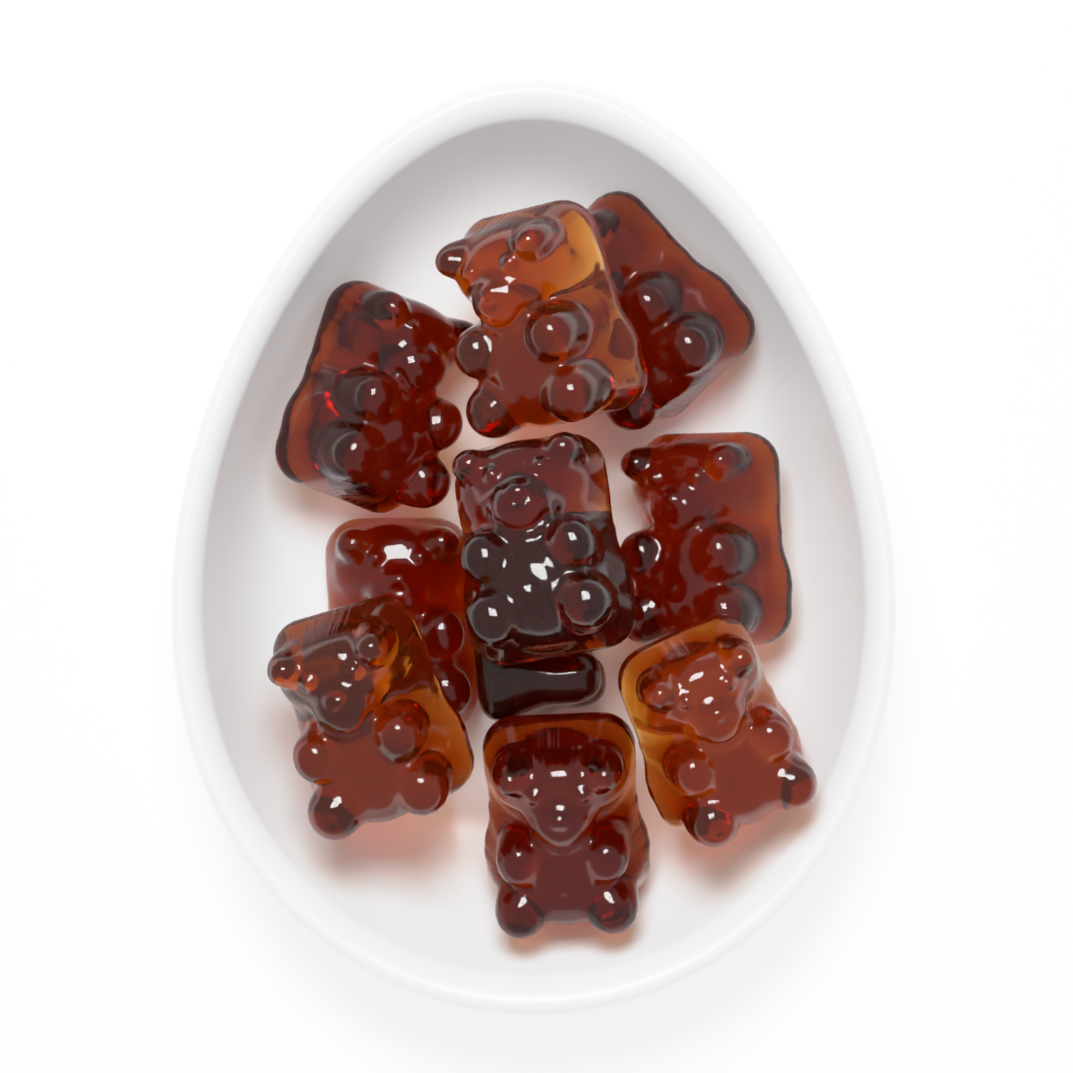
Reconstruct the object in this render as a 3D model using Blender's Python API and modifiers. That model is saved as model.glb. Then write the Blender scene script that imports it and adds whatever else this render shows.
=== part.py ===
"""Ten gummy bears heaped in an egg-shaped white ceramic dish. +Y is the dish's narrow end, +Z is up.

The origin is under the middle of the dish, on the surface it stands on. All lengths below are in
millimetres and are turned into metres by MM where a shape is made.
"""

import math

import bmesh
import bpy
from mathutils import Euler, Matrix, Vector
from mathutils.bvhtree import BVHTree

MM = 0.001
GAP = 0.3  # clear space kept between touching pieces
FARTHEST = 6.0  # distances past this aren't measured

# The dish is an egg: half width, half length, and how far the widest place lies toward the blunt end.
DISH_HALF_WIDTH = 31.9
DISH_HALF_LENGTH = 41.6
DISH_EGG = 0.143
DISH_EGG_SQUARE = -0.026
DISH_FLOOR = 2.6
DISH_RIM = 16.3
DISH_LIP = 15.5  # height at which the inner wall turns over into the rim
FLAT_SHARE = 0.55  # the floor is flat out to this share of the outline
WALL_SHARE = 0.95  # the inner wall ends at this share of the outline
WALL_CURVE = 2.6  # power by which the inner wall steepens
FOOT_RECESS = 0.5
DISH_SIDES = 48
WALL_RINGS = 8

# One bear lies on its flat back: x across, y toward the head, z from the back to the front.
BEAR_MIDDLE = 6.0  # height over the back of the point that a bear is placed and turned by
DRAFT = math.radians(16)  # slope of the side walls
TOP_ROUNDING = 1.5
BEAR_BLOCKS = {  # middle y, half width, half length, corner radius, height
    "head": (5.3, 7.3, 4.9, 2.6, 7.4),
    "waist": (-1.2, 7.4, 4.3, 2.1, 7.2),
    "hips": (-5.6, 8.0, 4.6, 2.4, 7.2),
}
BEAR_LOBES = {  # x, y, z, then the half width, half length and half height of an ellipsoid
    "brow": (0.0, 5.4, 4.9, 4.7, 3.8, 4.6),
    "muzzle": (0.0, 3.2, 7.2, 2.8, 3.0, 3.2),
    "nose": (0.0, 4.4, 9.6, 0.85, 0.7, 1.15),
    "chin": (0.0, 1.4, 8.0, 2.0, 1.2, 2.0),
    "belly": (0.0, -3.8, 5.4, 4.7, 5.2, 4.9),
}
BEAR_PAIRS = {  # the same, once on each side
    "ear": (4.2, 7.3, 6.9, 1.5, 1.5, 2.4),
    "eye": (2.3, 6.7, 8.5, 0.7, 0.65, 0.85),
    "arm": (3.9, -0.9, 7.8, 2.0, 2.4, 2.9),
    "foot": (4.1, -6.2, 8.0, 2.4, 2.5, 3.1),
}
BEAR_VOXEL = 0.4
BEAR_TRIANGLES = 790

# The heap, from the floor up. Place is x, y and a height just over the bear's resting place, which
# settle() finds. Turn is in degrees: about its own length, then its width, then upright.
HEAP = {
    "bear_mid_left": {"place": (-12.2, -7.1, 9.6), "turn": (1, 0, 1), "scale": 0.965},
    "bear_under": {"place": (0.85, -5.4, 11.1), "turn": (86, -5, 6), "scale": 0.965},
    "bear_upper_left": {"place": (-11.9, 13.1, 12.9), "turn": (36, -6, -17), "scale": 0.975},
    "bear_upper_right": {"place": (7.4, 20, 12.1), "turn": (-30, -3, 42), "scale": 0.975},
    "bear_right": {"place": (13.95, 0.35, 12.3), "turn": (-26, 4, 3), "scale": 0.975},
    "bear_lower_left": {"place": (-15.5, -16.3, 20.3), "turn": (-15, 16, 20), "scale": 0.985},
    "bear_bottom": {"place": (2.8, -26.3, 17), "turn": (-4, 31, 5), "scale": 0.975},
    "bear_lower_right": {"place": (17.4, -17.4, 20.9), "turn": (7, 22, 22), "scale": 0.93},
    "bear_centre": {"place": (-0.4, 0.6, 24.8), "turn": (-9, -8, 9), "scale": 0.985},
    "bear_top": {"place": (-1.2, 18.9, 20.6), "turn": (-32, 9, 17), "scale": 0.995},
}
GUMMY_RED = (0.13, 0.012, 0.004)
GUMMY_ORANGE = (0.28, 0.045, 0.004)
GUMMY_DARK = (0.045, 0.012, 0.008)
GUMMY_COLOURS = {
    "bear_top": GUMMY_ORANGE,
    "bear_lower_left": GUMMY_ORANGE,
    "bear_lower_right": GUMMY_ORANGE,
    "bear_centre": GUMMY_DARK,
    "bear_under": GUMMY_DARK,
}


def clear_scene():
    for thing in list(bpy.data.objects):
        bpy.data.objects.remove(thing)


def new_material(name, colour, roughness):
    material = bpy.data.materials.new(name)
    material.use_nodes = True
    shader = material.node_tree.nodes["Principled BSDF"]
    shader.inputs["Base Color"].default_value = (*colour, 1.0)
    shader.inputs["Roughness"].default_value = roughness
    shader.inputs["Metallic"].default_value = 0.0
    return material


def new_object(name, shape, material, collection):
    """An object from a bmesh, shaded smooth."""
    mesh = bpy.data.meshes.new(name)
    shape.to_mesh(mesh)
    shape.free()
    mesh.shade_smooth()
    mesh.materials.append(material)
    thing = bpy.data.objects.new(name, mesh)
    collection.objects.link(thing)
    return thing


def dish_profile():
    """The dish's section as (share of the outline, height), from the middle of the floor to the foot."""
    rise = DISH_LIP - DISH_FLOOR
    section = [(0.0, DISH_FLOOR), (0.3, DISH_FLOOR)]
    for ring in range(WALL_RINGS + 1):
        along = ring / WALL_RINGS
        share = FLAT_SHARE + (WALL_SHARE - FLAT_SHARE) * along
        section.append((share, DISH_FLOOR + rise * along**WALL_CURVE))
    section += [(0.972, DISH_RIM), (0.995, DISH_RIM - 0.8), (1.0, DISH_RIM - 2.0)]
    section += [(0.985, 12.0), (0.9, 6.0), (0.76, 1.2)]
    section += [(0.68, 0.0), (0.61, 0.0), (0.58, FOOT_RECESS), (0.0, FOOT_RECESS)]
    return section


def egg_outline(point):
    """Draws a round dish of radius 1 out to the egg: half width and half length, wider toward -Y."""
    radius = math.hypot(point.x, point.y)
    if radius == 0:
        return Vector((0, 0, point.z * MM))
    sine = point.y / radius
    bulge = 1 - DISH_EGG * sine + DISH_EGG_SQUARE * sine * sine
    return Vector((point.x * DISH_HALF_WIDTH * bulge, point.y * DISH_HALF_LENGTH, point.z)) * MM


def make_dish(collection):
    """The section is spun round into a round dish, which is then drawn out to the egg."""
    shape = bmesh.new()
    corners = [shape.verts.new((share, 0, height)) for share, height in dish_profile()]
    edges = [shape.edges.new(ends) for ends in zip(corners, corners[1:])]
    bmesh.ops.spin(
        shape,
        geom=corners + edges,
        cent=(0, 0, 0),
        axis=(0, 0, 1),
        angle=2 * math.pi,
        steps=DISH_SIDES,
        use_merge=True,
    )
    bmesh.ops.remove_doubles(shape, verts=shape.verts, dist=1e-4)
    for corner in shape.verts:
        corner.co = egg_outline(corner.co)
    bmesh.ops.recalc_face_normals(shape, faces=shape.faces)
    return new_object("dish", shape, new_material("White_glazed_dish", (0.9, 0.9, 0.89), 0.12), collection)


def add_block(shape, middle, half_width, half_length, corner, height):
    """A block with sloping walls: its upright edges get the corner radius, its top edges a smaller one."""
    size = Matrix.Diagonal((2 * half_width, 2 * half_length, height, 1))
    where = Matrix.Translation((0, middle, height / 2)) @ size
    verts = bmesh.ops.create_cube(shape, size=1, matrix=where)["verts"]
    inset = height * math.tan(DRAFT)
    for vert in verts:
        if vert.co.z > height / 2:
            vert.co.x -= math.copysign(inset, vert.co.x)
            vert.co.y -= math.copysign(inset, vert.co.y - middle)
    edges = {edge for vert in verts for edge in vert.link_edges}
    upright = [edge for edge in edges if abs(edge.verts[0].co.z - edge.verts[1].co.z) > height / 2]
    rounded = bmesh.ops.bevel(shape, geom=upright, offset=corner, segments=4, profile=0.5, affect="EDGES")
    edges = {edge for vert in rounded["verts"] for edge in vert.link_edges}
    rim = [edge for edge in edges if min(vert.co.z for vert in edge.verts) > height - 0.01]
    bmesh.ops.bevel(shape, geom=rim, offset=TOP_ROUNDING, segments=3, profile=0.5, affect="EDGES")


def add_lobe(shape, x, y, z, half_width, half_length, half_height):
    """An ellipsoid."""
    size = Matrix.Diagonal((half_width, half_length, half_height, 1))
    where = Matrix.Translation((x, y, z)) @ size
    bmesh.ops.create_uvsphere(shape, u_segments=20, v_segments=12, radius=1, matrix=where)


def make_bear(name, collection):
    """Blocks for the moulded body and ellipsoids for its features, melted into one skin."""
    shape = bmesh.new()
    for block in BEAR_BLOCKS.values():
        add_block(shape, *block)
    for lobe in BEAR_LOBES.values():
        add_lobe(shape, *lobe)
    for x, *rest in BEAR_PAIRS.values():
        add_lobe(shape, x, *rest)
        add_lobe(shape, -x, *rest)
    to_metres = Matrix.Scale(MM, 4) @ Matrix.Translation((0, 0, -BEAR_MIDDLE))
    bmesh.ops.transform(shape, matrix=to_metres, verts=shape.verts)
    colour = GUMMY_COLOURS.get(name, GUMMY_RED)
    bear = new_object(name, shape, new_material("Gummy_" + name, colour, 0.1), collection)
    skin = bear.modifiers.new("One skin", "REMESH")
    skin.mode = "VOXEL"
    skin.voxel_size = BEAR_VOXEL * MM
    melt = bear.modifiers.new("Melted edges", "SMOOTH")
    melt.factor = 0.5
    melt.iterations = 4
    return bear


def thin_out(bear):
    """Brings the skin down to its share of triangles."""
    graph = bpy.context.evaluated_depsgraph_get()
    mesh = bear.evaluated_get(graph).to_mesh()
    mesh.calc_loop_triangles()
    facets = bear.modifiers.new("Facets", "DECIMATE")
    facets.ratio = BEAR_TRIANGLES / len(mesh.loop_triangles)


def solid_of(thing):
    """The finished mesh in the object's own frame: its points, and its faces as indices."""
    mesh = thing.evaluated_get(bpy.context.evaluated_depsgraph_get()).to_mesh()
    points = [vert.co.copy() for vert in mesh.vertices]
    faces = [tuple(face.vertices) for face in mesh.polygons]
    return points, faces


def clearance(points, tree, others):
    """The smallest distance between two solids, measured from each one's points to the other's faces."""
    other_points, other_tree = others
    nearest = FARTHEST * MM
    for cloud, surface in ((points, other_tree), (other_points, tree)):
        for point in cloud:
            found = surface.find_nearest(point, nearest)
            if found[3] is not None:
                nearest = min(nearest, found[3])
    return 0.0 if tree.overlap(other_tree) else nearest


def settle(bear, resting):
    """Lowers a bear until it is GAP clear of the first piece it meets, and adds it to those at rest."""
    points, faces = solid_of(bear)
    step = 0.1 * MM

    def placed():
        world = [bear.matrix_world @ point for point in points]
        return world, BVHTree.FromPolygons(world, faces)

    def is_clear():
        bpy.context.view_layer.update()
        world, tree = placed()
        return all(clearance(world, tree, other) >= GAP * MM for other in resting)

    while not is_clear():
        bear.location.z += step
    while is_clear():
        bear.location.z -= step
    bear.location.z += step
    bpy.context.view_layer.update()
    resting.append(placed())


def main():
    clear_scene()
    collection = bpy.data.collections.new("Gummy_bears_in_a_dish")
    bpy.context.scene.collection.children.link(collection)
    dish = make_dish(collection)
    points, faces = solid_of(dish)
    resting = [(points, BVHTree.FromPolygons(points, faces))]
    for name, pose in HEAP.items():
        bear = make_bear(name, collection)
        thin_out(bear)
        bear.scale = (pose["scale"],) * 3
        bear.rotation_mode = "YXZ"
        about_length, about_width, upright = (math.radians(angle) for angle in pose["turn"])
        bear.rotation_euler = Euler((about_width, about_length, upright), "YXZ")
        bear.location = Vector(pose["place"]) * MM
        settle(bear, resting)


main()
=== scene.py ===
"""Gummy bears heaped in an egg-shaped white glazed dish, seen from straight above in soft studio light."""
import math

import bpy
import numpy as np
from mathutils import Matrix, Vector


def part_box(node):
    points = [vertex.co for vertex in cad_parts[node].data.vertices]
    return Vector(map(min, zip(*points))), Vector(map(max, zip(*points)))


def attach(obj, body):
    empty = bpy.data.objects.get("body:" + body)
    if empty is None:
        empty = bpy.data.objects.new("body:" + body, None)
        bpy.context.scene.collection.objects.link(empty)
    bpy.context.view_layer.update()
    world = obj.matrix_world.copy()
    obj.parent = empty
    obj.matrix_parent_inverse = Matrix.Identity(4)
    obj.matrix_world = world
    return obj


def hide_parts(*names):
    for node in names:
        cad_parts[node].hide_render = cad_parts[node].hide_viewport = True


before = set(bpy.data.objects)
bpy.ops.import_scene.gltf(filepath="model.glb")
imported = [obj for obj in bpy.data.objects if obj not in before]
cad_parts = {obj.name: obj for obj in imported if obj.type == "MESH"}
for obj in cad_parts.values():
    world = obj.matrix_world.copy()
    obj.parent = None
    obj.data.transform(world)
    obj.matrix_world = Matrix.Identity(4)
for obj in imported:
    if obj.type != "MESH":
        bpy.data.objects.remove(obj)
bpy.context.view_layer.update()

MM = 0.001

# How each bear lies, as in the solids: turned about its own length, its width, then upright, in
# degrees, and its size beside the usual bear. Its place is its solid's.
BEARS = {
    "bear_mid_left": ((1, 0, 1), 0.965),
    "bear_under": ((86, -5, 6), 0.965),
    "bear_upper_left": ((36, -6, -17), 0.975),
    "bear_upper_right": ((-30, -3, 42), 0.975),
    "bear_right": ((-26, 4, 3), 0.975),
    "bear_lower_left": ((-15, 16, 20), 0.985),
    "bear_bottom": ((-4, 31, 5), 0.975),
    "bear_lower_right": ((7, 22, 22), 0.93),
    "bear_centre": ((-9, -8, 9), 0.985),
    "bear_top": ((-32, 9, 17), 0.995),
}
# For each gelatine, how densely it takes up light, per metre, and the share and colour of its haze. The pale
# copy is painted light for the bears that show brighter: it takes up less light and has a lighter haze. The
# dark copy is painted shade for the bear in the middle of the heap and the one beneath it: it takes up more
# light and has more, darker haze.
GELS = {
    "Oiled_cast_gelatine": (1050.0, 0.04, "#a02808"),
    "Oiled_cast_gelatine_painted_light": (820.0, 0.05, "#c04c0c"),
    "Oiled_cast_gelatine_painted_shade": (1400.0, 0.06, "#802818"),
}
# Bears in the pale gel get painted light and those in the dark gel painted shade; the rest are plain
# gelatine.
GEL_OF = {
    "bear_top": "Oiled_cast_gelatine_painted_light",
    "bear_lower_left": "Oiled_cast_gelatine_painted_light",
    "bear_lower_right": "Oiled_cast_gelatine_painted_light",
    "bear_centre": "Oiled_cast_gelatine_painted_shade",
    "bear_under": "Oiled_cast_gelatine_painted_shade",
}
SWELL = 1.015  # soft bears press closer together than the solids, which keep a gap
# How far a bear has settled against the next one, in millimetres.
SETTLED = {
    "bear_bottom": (-0.35, 0.35, 0.0),
    "bear_under": (0.0, -0.3, 0.0),
    "bear_right": (-0.35, 0.0, 0.0),
    "bear_lower_right": (-0.3, 0.1, 0.0),
    "bear_mid_left": (0.1, 0.2, 0.0),
}

# The moulded bear in millimetres: x across, y toward the head, z from its flat back to its front. Fillets
# and roundings are the widths over which two surfaces run into each other.
DRAFT = math.tan(math.radians(16))  # slope of the walls, so that a bear leaves its mould
BLOCKS = [  # middle y, half width, half length, corner radius, height
    (5.3, 7.4, 5.0, 3.5, 7.4),  # head
    (-1.2, 7.4, 4.3, 2.6, 7.2),  # waist
    (-5.6, 8.1, 4.7, 3.5, 7.2),  # hips
]
# Middle x, y, z, half sizes x, y, z, width of the fillet round it, and a power: 2 is an ellipsoid,
# more makes a flatter top. Each is mirrored in x.
LOBES = [
    (0.0, 5.5, 4.9, 4.5, 3.5, 4.2, 1.2, 3.0),  # brow
    (4.15, 7.4, 6.9, 1.6, 1.5, 2.5, 1.0, 2.3),  # ear
    (2.1, 6.1, 8.5, 0.8, 0.75, 1.0, 0.5, 2.0),  # eye
    (0.0, 3.2, 7.2, 3.0, 2.8, 3.3, 0.8, 2.3),  # muzzle
    (0.0, 4.1, 9.9, 0.95, 0.75, 0.8, 0.5, 2.0),  # nose
    (0.0, 1.3, 7.7, 2.5, 1.3, 1.9, 0.8, 2.5),  # chin
    (0.0, -3.8, 5.4, 4.7, 5.2, 4.9, 1.2, 2.3),  # belly
    (3.9, -0.9, 7.8, 2.1, 2.4, 2.8, 1.1, 2.5),  # arm
    (4.1, -6.2, 8.0, 2.4, 2.5, 3.0, 1.1, 2.5),  # foot
]
BLOCK_FILLET = 2.4
TOP_ROUNDING = 2.4
BACK_ROUNDING = 2.8
WAVE = 0.07  # how far a bear's slow unevenness moves its skin
SKIN_GRAIN = 2.38  # size of the faint unevenness in the oiled skin
AROUND = 240  # points round a bear
ALONG = 170  # points from its crown to its seat

# The dish in millimetres: an egg outline, with the section's places given as shares of that outline.
DISH_HALF_WIDTH = 31.9
DISH_HALF_LENGTH = 41.6
DISH_EGG = 0.143
DISH_EGG_SQUARE = -0.026
DISH_FLOOR = 2.6
DISH_RIM = 16.3
DISH_LIP = 14.6
FLAT_SHARE = 0.55
WALL_SHARE = 0.915
WALL_CURVE = 2.6
DISH_AROUND = 240  # points round the dish
GLAZE_RIPPLE = 11.11  # size of the slow waves in the glaze

# The studio, in metres and watts.
KEY_PLACE = (-0.03, 0.22, 0.5)
KEY_SIZE = 0.22  # wide enough that the shadows of the bears have soft edges
KEY_WATTS = 3.55
SKY_STRENGTH = 0.735
FLOOR_GLOW = 0.4  # lifts the sheet to the white that a lit backdrop has
FLOOR_HALF = 1.5
VIEW_DISTANCE = 0.55  # from the lens down to the rim
VIEW_WIDTH = 0.09496  # what the view takes in, at the rim
VIEW_MIDDLE = (0.00026, 0.00098)
SENSOR = 36.0  # width in millimetres
# How the view answers to light, as a camera does: true up to the middle tones, then ever more gently.
BRIGHTEST = 2.2
RESPONSE = [(0.2, 0.2), (0.45, 0.45), (0.8, 0.77), (1.0, 0.85), (1.3, 0.90), (1.7, 0.96)]


def linear(hex_colour):
    """An sRGB hex colour, such as "#c04010", as linear red, green, blue and alpha."""
    channels = [int(hex_colour[i : i + 2], 16) / 255 for i in (1, 3, 5)]
    return [c / 12.92 if c <= 0.04045 else ((c + 0.055) / 1.055) ** 2.4 for c in channels] + [1.0]


def add_node(material, kind, links=(), **values):
    """A shader node with the values of its inputs, and links given as (input, node, output)."""
    node = material.node_tree.nodes.new(kind)
    for name, value in values.items():
        node.inputs[name.replace("_", " ")].default_value = value
    for socket, source, output in links:
        material.node_tree.links.new(source.outputs[output], node.inputs[socket])
    return node


def grid_piece(name, points, material):
    """A closed skin over a grid of points, rows from one pole to the other and columns all the way round.

    Each end row is one point repeated, so it becomes a single vertex with a fan of triangles.
    """
    rows, columns, _ = points.shape
    inner = points[1:-1].reshape(-1, 3)
    verts = np.concatenate([points[:1, 0], inner, points[-1:, 0]])
    index = 1 + np.arange((rows - 2) * columns).reshape(rows - 2, columns)
    after = np.roll(index, -1, axis=1)
    quads = np.stack([index[:-1], index[1:], after[1:], after[:-1]], axis=-1).reshape(-1, 4)
    first = np.stack([np.zeros(columns, int), index[0], after[0]], axis=-1)
    last = np.stack([np.full(columns, len(verts) - 1), after[-1], index[-1]], axis=-1)
    mesh = bpy.data.meshes.new(name)
    mesh.from_pydata(verts.tolist(), [], first.tolist() + quads.tolist() + last.tolist())
    mesh.shade_smooth()
    mesh.materials.append(material)
    piece = bpy.data.objects.new(name, mesh)
    bpy.context.scene.collection.objects.link(piece)
    return piece


# The bears


def soft_min(a, b, fillet):
    """The smaller of two distances, with a fillet of that width where they are alike."""
    share = np.clip(0.5 + 0.5 * (b - a) / fillet, 0, 1)
    return b + (a - b) * share - fillet * share * (1 - share)


def block_distance(p, middle, half_width, half_length, corner, height):
    """Distance to a block whose walls lean in with height: a rounded rectangle that shrinks as z grows."""
    lean = DRAFT * p[..., 2]
    across = np.abs(p[..., 0]) - (half_width - corner - lean)
    along = np.abs(p[..., 1] - middle) - (half_length - corner - lean)
    inside = np.minimum(np.maximum(across, along), 0)
    outside = np.hypot(np.maximum(across, 0), np.maximum(along, 0))
    return -soft_min(corner - inside - outside, height - p[..., 2], TOP_ROUNDING)


def lobe_distance(p, middle, half_sizes, power):
    """Distance to a flat-topped pad, near enough.

    With u the distance from its upright axis and v the height, both in units of its half sizes, and n the
    power, the pad is where (u^n + v^n)^(1/n) is 1. What is over 1 is divided by the slope there.
    """
    q = (p - middle) / half_sizes
    u = np.hypot(q[..., 0], q[..., 1]) + 1e-9
    v = np.abs(q[..., 2])
    length = (u**power + v**power) ** (1 / power)
    out = (u / length) ** (power - 1) / u
    up = (v / length) ** (power - 1) / half_sizes[2]
    slope_x = out * q[..., 0] / half_sizes[0]
    slope_y = out * q[..., 1] / half_sizes[1]
    slope = np.sqrt(slope_x**2 + slope_y**2 + up**2)
    return (length - 1) / np.maximum(slope, 1e-6)


def bear_distance(p):
    """Distance to the bear's skin: blocks for the moulded body, pads for its features, a flat back."""
    p = p.copy()
    p[..., 0] = np.abs(p[..., 0])
    distance = block_distance(p, *BLOCKS[0])
    for block in BLOCKS[1:]:
        distance = soft_min(distance, block_distance(p, *block), BLOCK_FILLET)
    for lobe in LOBES:
        pad = lobe_distance(p, np.array(lobe[:3]), np.array(lobe[3:6]), lobe[7])
        distance = soft_min(distance, pad, lobe[6])
    return -soft_min(-distance, p[..., 2], BACK_ROUNDING)


def bump(value, width):
    """1 at zero, falling off as a bell of that width."""
    return np.exp(-((value / width) ** 2))


def step(value, low, high):
    """0 below low, 1 above high, smooth between."""
    share = np.clip((value - low) / (high - low), 0, 1)
    return share * share * (3 - 2 * share)


def bear_relief(p, normal):
    """How far the skin stands in or out of the smooth form, in millimetres.

    A smile and a navel pressed into the front, a dip at the nose, seams at the neck and between the
    limbs on the walls, fine draw lines up the walls, and a back that sinks inside its rim as it sets.
    """
    x, y, z = np.moveaxis(p, -1, 0)
    front = step(z, 6.5, 8.0)
    smile = bump(np.hypot(x, y - 3.4) - 2.6, 0.22) * step(2.5 - y, 0.0, 0.8) * front
    navel = bump(np.hypot(x, y + 4.0), 0.45) * front
    dip = bump(np.hypot(x * 0.8, y - 3.2), 0.5) * front
    wall = step(0.6 - np.abs(normal[..., 2]), 0.0, 0.3)
    seams = bump(y - 1.3, 0.4) + 0.8 * bump(y + 3.5, 0.4)
    around = np.arctan2(y * 0.8, x)
    draw = np.sin(around * 61) + 0.8 * np.sin(around * 97 + 1.3) + 0.6 * np.sin(around * 149 + 0.4)
    back = step(-normal[..., 2], 0.9, 0.99) * bump(np.maximum(np.hypot(x / 7.2, y / 9.6), 0.55) - 0.55, 0.25)
    sink = 0.3 * smile + 0.2 * navel + 0.18 * dip + wall * (0.08 * seams + 0.008 * draw) + 0.35 * back
    return -sink


def moulded_bear():
    """The bear's skin as a grid, in millimetres, about the point 6 mm over the middle of its back.

    Rays leave a short line along its length, at a polar angle from the crown and an angle round it,
    and are followed inward by the distance to the skin until they touch it.
    """
    polar, around = np.meshgrid(
        np.linspace(0, math.pi, ALONG), np.linspace(0, 2 * math.pi, AROUND, endpoint=False), indexing="ij"
    )
    out = np.sin(polar)
    rays = np.stack([out * np.cos(around), np.cos(polar), -out * np.sin(around)], axis=-1)
    starts = np.stack([0 * polar, 5 * np.cos(polar), 0 * polar + 4], axis=-1)
    reach = np.full(polar.shape, 12.0)
    for _ in range(90):
        reach -= 0.8 * bear_distance(starts + rays * reach[..., None])
    skin = starts + rays * reach[..., None]
    nudge = 0.02
    slopes = [bear_distance(skin + nudge * axis) - bear_distance(skin - nudge * axis) for axis in np.eye(3)]
    normal = np.stack(slopes, axis=-1)
    normal /= np.linalg.norm(normal, axis=-1, keepdims=True)
    skin += normal * bear_relief(skin, normal)[..., None]
    return skin - np.array([0, 0, 6.0])


def uneven(skin, seed):
    """The same bear set a little differently: two slow sine waves through its body along each axis."""
    random = np.random.default_rng(seed)
    moved = skin.copy()
    for axis in range(3):
        waves = random.uniform(-0.35, 0.35, (2, 3))
        phases = random.uniform(0, 2 * math.pi, 2)
        for wave, phase in zip(waves, phases):
            moved[..., axis] += WAVE * np.sin(skin @ wave + phase)
    return moved


def turned(points, turn):
    """Points turned about y, then x, then z, by degrees."""
    about_y, about_x, about_z = (math.radians(angle) for angle in turn)
    cy, sy, cx, sx, cz, sz = (f(a) for a in (about_y, about_x, about_z) for f in (math.cos, math.sin))
    turn_y = np.array([[cy, 0, sy], [0, 1, 0], [-sy, 0, cy]])
    turn_x = np.array([[1, 0, 0], [0, cx, -sx], [0, sx, cx]])
    turn_z = np.array([[cz, -sz, 0], [sz, cz, 0], [0, 0, 1]])
    return points @ (turn_z @ turn_x @ turn_y).T


def make_bears():
    """Every bear from the one mould, each uneven in its own way, laid where its solid lies."""
    skin = moulded_bear()
    gels = {name: gummy_material(name, *gel) for name, gel in GELS.items()}
    for number, (node, (turn, size)) in enumerate(BEARS.items()):
        points = turned(uneven(skin, 11 + number) * size * SWELL, turn) * MM
        low, high = (np.array(corner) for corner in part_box(node))
        middle = (points.min(axis=(0, 1)) + points.max(axis=(0, 1))) / 2
        points += (low + high) / 2 - middle + np.array(SETTLED.get(node, (0.0, 0.0, 0.0))) * MM
        gel = gels[GEL_OF.get(node, "Oiled_cast_gelatine")]
        piece = grid_piece(node.replace("bear", "gummy_bear"), points, gel)
        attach(piece, "root")
        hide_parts(node)


def gummy_material(name, density, cloudiness, haze):
    """Cola-coloured gelatine, cast in a mould and oiled.

    Light goes in, bends and is taken up on its way, blue first and then green, so that thin parts glow
    orange, thicker ones go red and the thickest almost black. The oil gives small sharp highlights, and the
    haze keeps the depths from looking empty.
    """
    material = bpy.data.materials.new(name)
    material.use_nodes = True
    material.node_tree.nodes.clear()
    place = add_node(material, "ShaderNodeTexCoord")
    skin = add_node(
        material,
        "ShaderNodeTexNoise",
        [("Vector", place, "Object")],
        Scale=1 / (SKIN_GRAIN * MM),
        Detail=3.0,
    )
    relief = add_node(
        material, "ShaderNodeBump", [("Height", skin, "Fac")], Strength=0.12, Distance=0.2 * MM
    )
    gel = add_node(
        material,
        "ShaderNodeBsdfPrincipled",
        [("Normal", relief, "Normal")],
        Base_Color=linear("#ffffff"),
        Roughness=0.08,
        IOR=1.44,
        Transmission_Weight=1.0,
    )
    cloud = add_node(
        material,
        "ShaderNodeBsdfPrincipled",
        [("Normal", relief, "Normal")],
        Base_Color=linear(haze),
        Roughness=0.08,
        IOR=1.44,
    )
    body = add_node(
        material, "ShaderNodeMixShader", [(1, gel, "BSDF"), (2, cloud, "BSDF")], Fac=cloudiness
    )
    # A shadow ray goes straight on, as bent light can't be followed back to a lamp: the shadows stay tinted.
    open_way = add_node(material, "ShaderNodeBsdfTransparent", Color=linear("#aca89c"))
    ray = add_node(material, "ShaderNodeLightPath")
    mixed = add_node(
        material,
        "ShaderNodeMixShader",
        [("Fac", ray, "Is Shadow Ray"), (1, body, "Shader"), (2, open_way, "BSDF")],
    )
    depth = add_node(
        material, "ShaderNodeVolumeAbsorption", Color=linear("#efcc00"), Density=density
    )
    add_node(
        material, "ShaderNodeOutputMaterial", [("Surface", mixed, "Shader"), ("Volume", depth, "Volume")]
    )
    return material


# The dish


def dish_section():
    """The section from the middle of the floor, up the inner wall, over the rim and down to the foot.

    Returns shares of the outline and heights. The inner wall rises as a power of the way across it. The
    rim, the outside and the foot ring go through the points given, with their corners cut.
    """
    floor = np.stack([np.linspace(0, FLAT_SHARE, 12), np.full(12, DISH_FLOOR)], axis=-1)
    way = np.linspace(0, 1, 50)[1:]
    reach = FLAT_SHARE + (WALL_SHARE - FLAT_SHARE) * way
    wall = np.stack([reach, DISH_FLOOR + (DISH_LIP - DISH_FLOOR) * way**WALL_CURVE], axis=-1)
    inner_rim = [(0.926, 15.15), (0.937, 15.6), (0.948, 15.95), (0.96, 16.2), (0.971, 16.3)]
    outer_rim = [(0.982, 16.2), (0.991, 15.8), (0.997, 15.1), (1.0, 14.3)]
    outside = [(0.998, 13.2), (0.985, 11.6), (0.955, 9.2), (0.9, 6.0), (0.83, 3.2), (0.76, 1.2)]
    foot = [(0.72, 0.35), (0.69, 0.05), (0.68, 0.0), (0.61, 0.0), (0.6, 0.05), (0.585, 0.4), (0.57, 0.5)]
    underside = [(0.3, 0.5), (0, 0.5)]
    return np.concatenate([floor, wall, inner_rim + outer_rim + outside + foot + underside])


def smooth_section(section):
    """The section with each corner cut a quarter of the way along its two sides, between fixed ends."""
    quarter = 0.75 * section[:-1] + 0.25 * section[1:]
    three = 0.25 * section[:-1] + 0.75 * section[1:]
    middle = np.stack([quarter, three], axis=1).reshape(-1, 2)
    return np.concatenate([section[:1], middle, section[-1:]])


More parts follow.
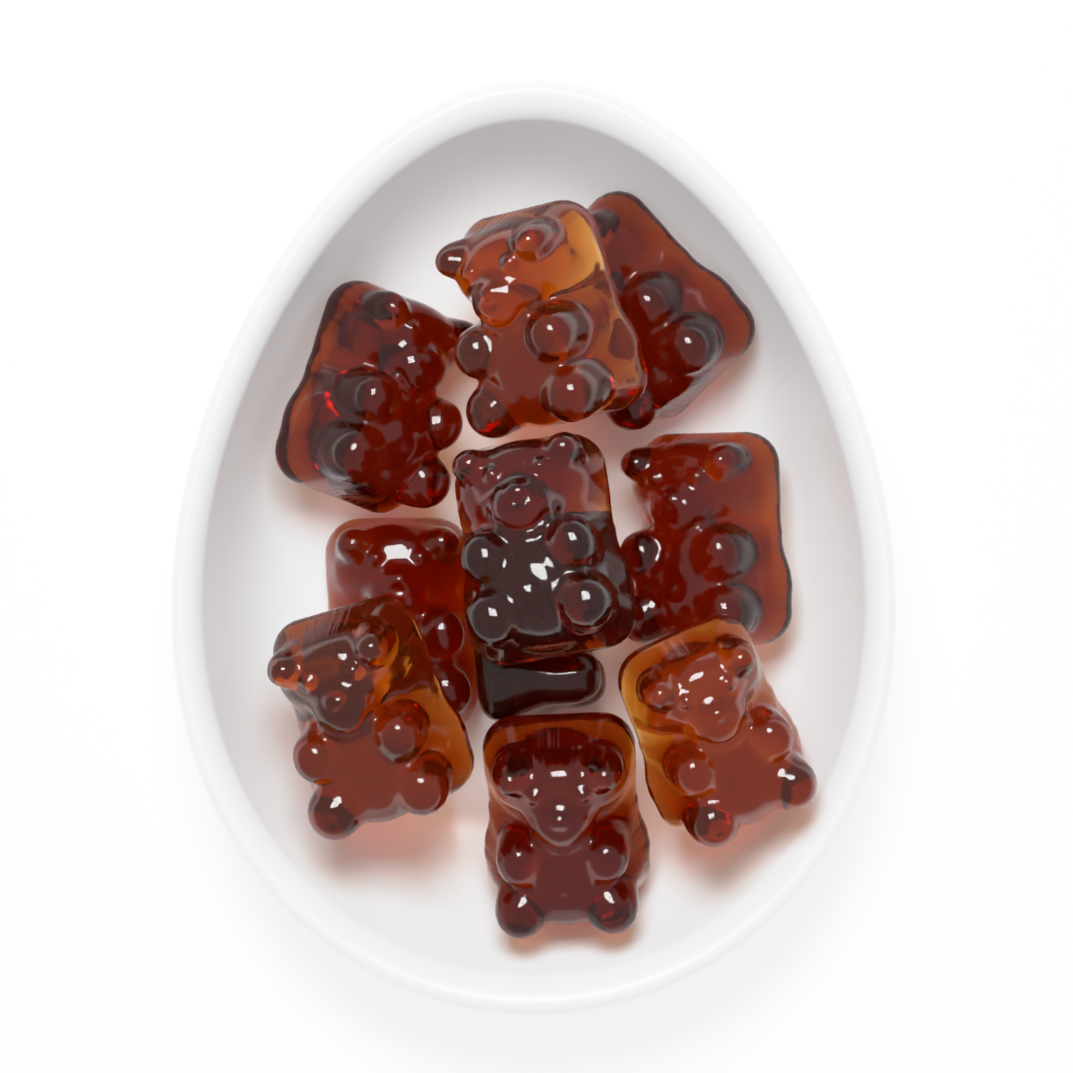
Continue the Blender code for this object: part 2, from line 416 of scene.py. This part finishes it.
def make_dish(material):
    """The section carried round an egg by its shares.

    The egg is x = a cos t (1 - k sin t + k2 sin^2 t) and y = b sin t: k makes one end narrower, and k2
    makes its sides a little flatter.
    """
    section = smooth_section(dish_section())
    turn = np.linspace(0, 2 * math.pi, DISH_AROUND, endpoint=False)
    bulge = 1 - DISH_EGG * np.sin(turn) + DISH_EGG_SQUARE * np.sin(turn) ** 2
    share, height = section[:, :1], section[:, 1:]
    x = share * DISH_HALF_WIDTH * np.cos(turn) * bulge
    y = share * DISH_HALF_LENGTH * np.sin(turn)
    points = np.stack([x, y, height + 0 * x], axis=-1) * MM
    piece = grid_piece("egg_dish", points, material)
    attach(piece, "root")
    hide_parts("dish")


def dish_material():
    """White porcelain, cast and dipped in a clear glaze.

    The body is a bright, slightly cool white. The glaze gives it a soft-edged shine, and its slow waves
    keep the wall from looking perfectly even.
    """
    material = bpy.data.materials.new("White_glazed_porcelain")
    material.use_nodes = True
    material.node_tree.nodes.clear()
    place = add_node(material, "ShaderNodeTexCoord")
    ripple = add_node(
        material,
        "ShaderNodeTexNoise",
        [("Vector", place, "Object")],
        Scale=1 / (GLAZE_RIPPLE * MM),
        Detail=2.0,
    )
    tone = add_node(material, "ShaderNodeValToRGB", [("Fac", ripple, "Fac")])
    tone.color_ramp.elements[0].color = linear("#e3e5e7")
    tone.color_ramp.elements[1].color = linear("#e6e8ea")
    relief = add_node(
        material, "ShaderNodeBump", [("Height", ripple, "Fac")], Strength=0.05, Distance=0.5 * MM
    )
    glaze = add_node(
        material,
        "ShaderNodeBsdfPrincipled",
        [("Base Color", tone, "Color"), ("Normal", relief, "Normal")],
        Roughness=0.3,
        IOR=1.5,
    )
    add_node(material, "ShaderNodeOutputMaterial", [("Surface", glaze, "BSDF")])
    return material


# The studio


def make_floor():
    """A pale matt sheet under the dish, lit from within a little so that it stays white to its edges."""
    material = bpy.data.materials.new("White_matt_paper")
    material.use_nodes = True
    shader = material.node_tree.nodes["Principled BSDF"]
    shader.inputs["Base Color"].default_value = linear("#fcfcfc")
    shader.inputs["Roughness"].default_value = 0.9
    shader.inputs["Emission Color"].default_value = linear("#ffffff")
    shader.inputs["Emission Strength"].default_value = FLOOR_GLOW
    mesh = bpy.data.meshes.new("floor")
    corners = [(FLOOR_HALF * x, FLOOR_HALF * y, 0) for x, y in ((-1, -1), (1, -1), (1, 1), (-1, 1))]
    mesh.from_pydata(corners, [], [(0, 1, 2, 3)])
    mesh.materials.append(material)
    floor = bpy.data.objects.new("floor", mesh)
    bpy.context.scene.collection.objects.link(floor)


def make_key_light():
    """A square soft light over the narrow end, which faces the dish."""
    light = bpy.data.lights.new("key", "AREA")
    light.size = KEY_SIZE
    light.energy = KEY_WATTS
    lamp = bpy.data.objects.new("key", light)
    lamp.location = KEY_PLACE
    lamp.rotation_euler = (-Vector(KEY_PLACE)).to_track_quat("-Z", "Y").to_euler()
    bpy.context.scene.collection.objects.link(lamp)


def make_studio():
    """An even white surround, the key light, and the view's response to light."""
    scene = bpy.context.scene
    world = bpy.data.worlds.new("Studio")
    world.use_nodes = True
    sky = world.node_tree.nodes["Background"]
    sky.inputs["Color"].default_value = linear("#ffffff")
    sky.inputs["Strength"].default_value = SKY_STRENGTH
    scene.world = world
    scene.view_settings.view_transform = "Standard"
    scene.view_settings.use_curve_mapping = True
    response = scene.view_settings.curve_mapping
    response.white_level = (BRIGHTEST,) * 3
    for light, shown in RESPONSE:
        response.curves[3].points.new(light / BRIGHTEST, shown)
    response.update()
    make_key_light()


def make_camera():
    """Straight above the dish, the narrow end at the top of the view."""
    camera = bpy.data.cameras.new("camera")
    camera.sensor_width = SENSOR
    camera.lens = SENSOR * VIEW_DISTANCE / VIEW_WIDTH
    camera.clip_start = 0.01
    view = bpy.data.objects.new("camera", camera)
    view.location = (*VIEW_MIDDLE, VIEW_DISTANCE + DISH_RIM * MM)
    bpy.context.scene.collection.objects.link(view)
    bpy.context.scene.camera = view


make_camera()
make_studio()
make_floor()
make_dish(dish_material())
make_bears()
